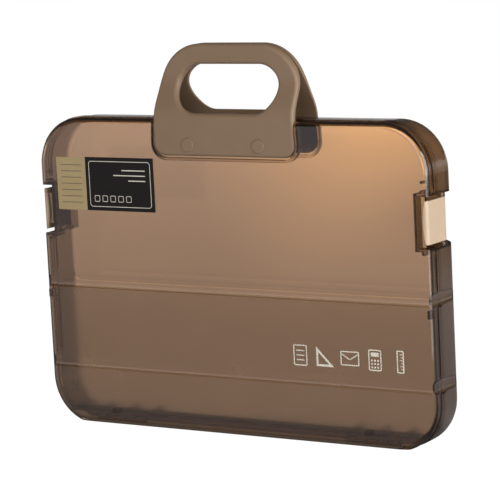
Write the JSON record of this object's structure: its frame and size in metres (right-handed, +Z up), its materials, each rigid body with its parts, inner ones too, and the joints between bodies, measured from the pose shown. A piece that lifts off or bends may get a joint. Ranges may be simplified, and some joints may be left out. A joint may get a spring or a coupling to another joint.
{
  "type": "portable_file_organizer",
  "caption": "Portable clear document case: two hinged shells standing on their long edge, side latches, split carrying handle and an inner pocket",
  "frame": {"origin": "middle of the case's footprint, on the surface that it stands on", "axes": "+X to the right seen from the front, +Y from the front face to the back, +Z up"},
  "size_m": [0.35, 0.0406, 0.299],
  "materials": {
    "clear_shell": "polished",
    "frosted_panel": "frosted",
    "milk_tea_plastic": "smooth",
    "beige_latch": "smooth",
    "pin_steel": "drawn",
    "dark_label": "printed film",
    "pale_label": "printed film"
  },
  "bodies": {
    "case_back": {"rear_shell": "clear_shell", "rear_handle_plate": "milk_tea_plastic", "hinge_pin_left": "pin_steel", "hinge_pin_right": "pin_steel", "latch_pin_left": "pin_steel", "latch_pin_right": "pin_steel", "rear_handle_rivet_left": "milk_tea_plastic", "rear_handle_rivet_right": "milk_tea_plastic", "rear_rivet_washer_left": "pin_steel", "rear_rivet_washer_right": "pin_steel"},
    "lid": {"front_shell": "clear_shell", "front_handle_plate": "milk_tea_plastic", "stationery_pocket_panel": "frosted_panel", "sticker_dark": "dark_label", "sticker_pale": "pale_label", "front_handle_rivet_left": "milk_tea_plastic", "front_handle_rivet_right": "milk_tea_plastic", "front_rivet_washer_left": "pin_steel", "front_rivet_washer_right": "pin_steel"},
    "latch_right_body": {"latch_right": "beige_latch"},
    "latch_left_body": {"latch_left": "beige_latch"}
  },
  "joints": [
    {"name": "lid_hinge", "type": "hinge", "parent": "case_back", "child": "lid", "pos_m": [0, -0.0076, 0.0028], "axis": [1, 0, 0], "range_deg": [0, 130]},
    {"name": "latch_right_hinge", "type": "hinge", "parent": "case_back", "child": "latch_right_body", "pos_m": [0.1705, 0.0086, 0.1696], "axis": [0, 0, 1], "range_deg": [0, 100]},
    {"name": "latch_left_hinge", "type": "hinge", "parent": "case_back", "child": "latch_left_body", "pos_m": [-0.1705, 0.0086, 0.1696], "axis": [0, 0, -1], "range_deg": [0, 100]}
  ]
}
